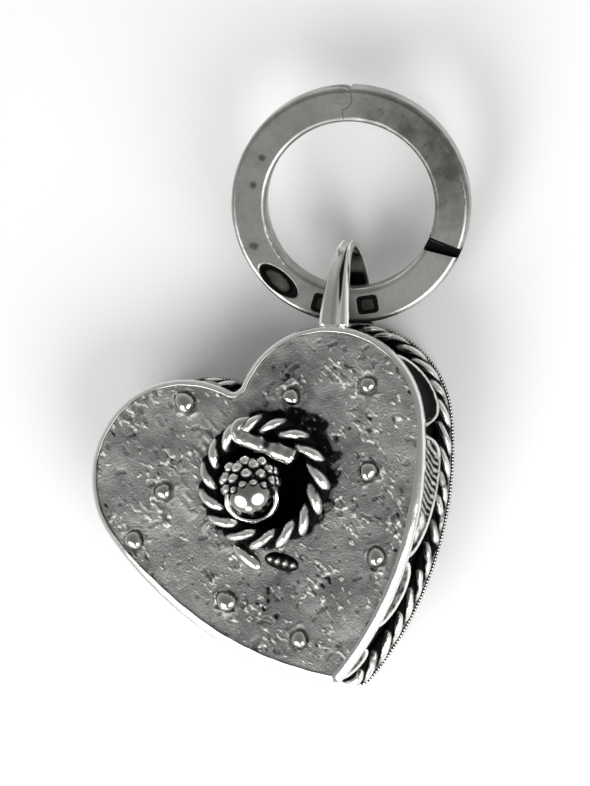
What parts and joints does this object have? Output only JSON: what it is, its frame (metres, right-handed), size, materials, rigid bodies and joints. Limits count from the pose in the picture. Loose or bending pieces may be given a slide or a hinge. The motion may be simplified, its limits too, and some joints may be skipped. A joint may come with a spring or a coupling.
{
  "type": "milagro charm",
  "caption": "Heart-shaped box charm in blackened silver with a twisted-wire border, a well holding a small bud, a tapered bail and a hanging ring with a hinged gate.",
  "frame": {"origin": "on the axis of the round well, at the back face of the heart box", "axes": "+Z from the back face to the decorated front, +Y along the heart from its tip to its notch, +X to the right seen from the front"},
  "size_m": [0.0277, 0.0338, 0.0077],
  "materials": {
    "silver_polished": "polished",
    "silver_relief": "blackened in the hollows, polished on the high places",
    "silver_blackened": "oxidised matt"
  },
  "bodies": {
    "heart": {"back_plate": "silver_polished", "back_rim": "silver_relief", "side_wall": "silver_blackened", "rope_border_left": "silver_relief", "rope_border_right": "silver_relief", "scallop_gallery": "silver_relief", "front_bezel": "silver_polished", "front_plate": "silver_blackened", "front_granules": "silver_polished", "well_cup": "silver_blackened", "well_rope": "silver_relief", "well_leaves": "silver_polished", "well_bar": "silver_polished", "bud_stem": "silver_blackened", "bud_cup": "silver_relief", "bud_nut": "silver_polished", "bail": "silver_polished"},
    "ring": {"ring_body": "silver_polished", "gate_pin": "silver_polished"},
    "gate": {"ring_gate": "silver_polished"}
  },
  "joints": [
    {"name": "ring_swing", "type": "hinge", "parent": "heart", "child": "ring", "pos_m": [0.00737, 0.0085, 0.003], "axis": [0.9056, -0.4242, 0], "range_deg": [-95, 76]},
    {"name": "gate_hinge", "type": "hinge", "parent": "ring", "child": "gate", "pos_m": [0.01184, 0.01985, 0.00522], "axis": [0.1191, -0.2359, 0.9644], "range_deg": [0, 45]}
  ]
}
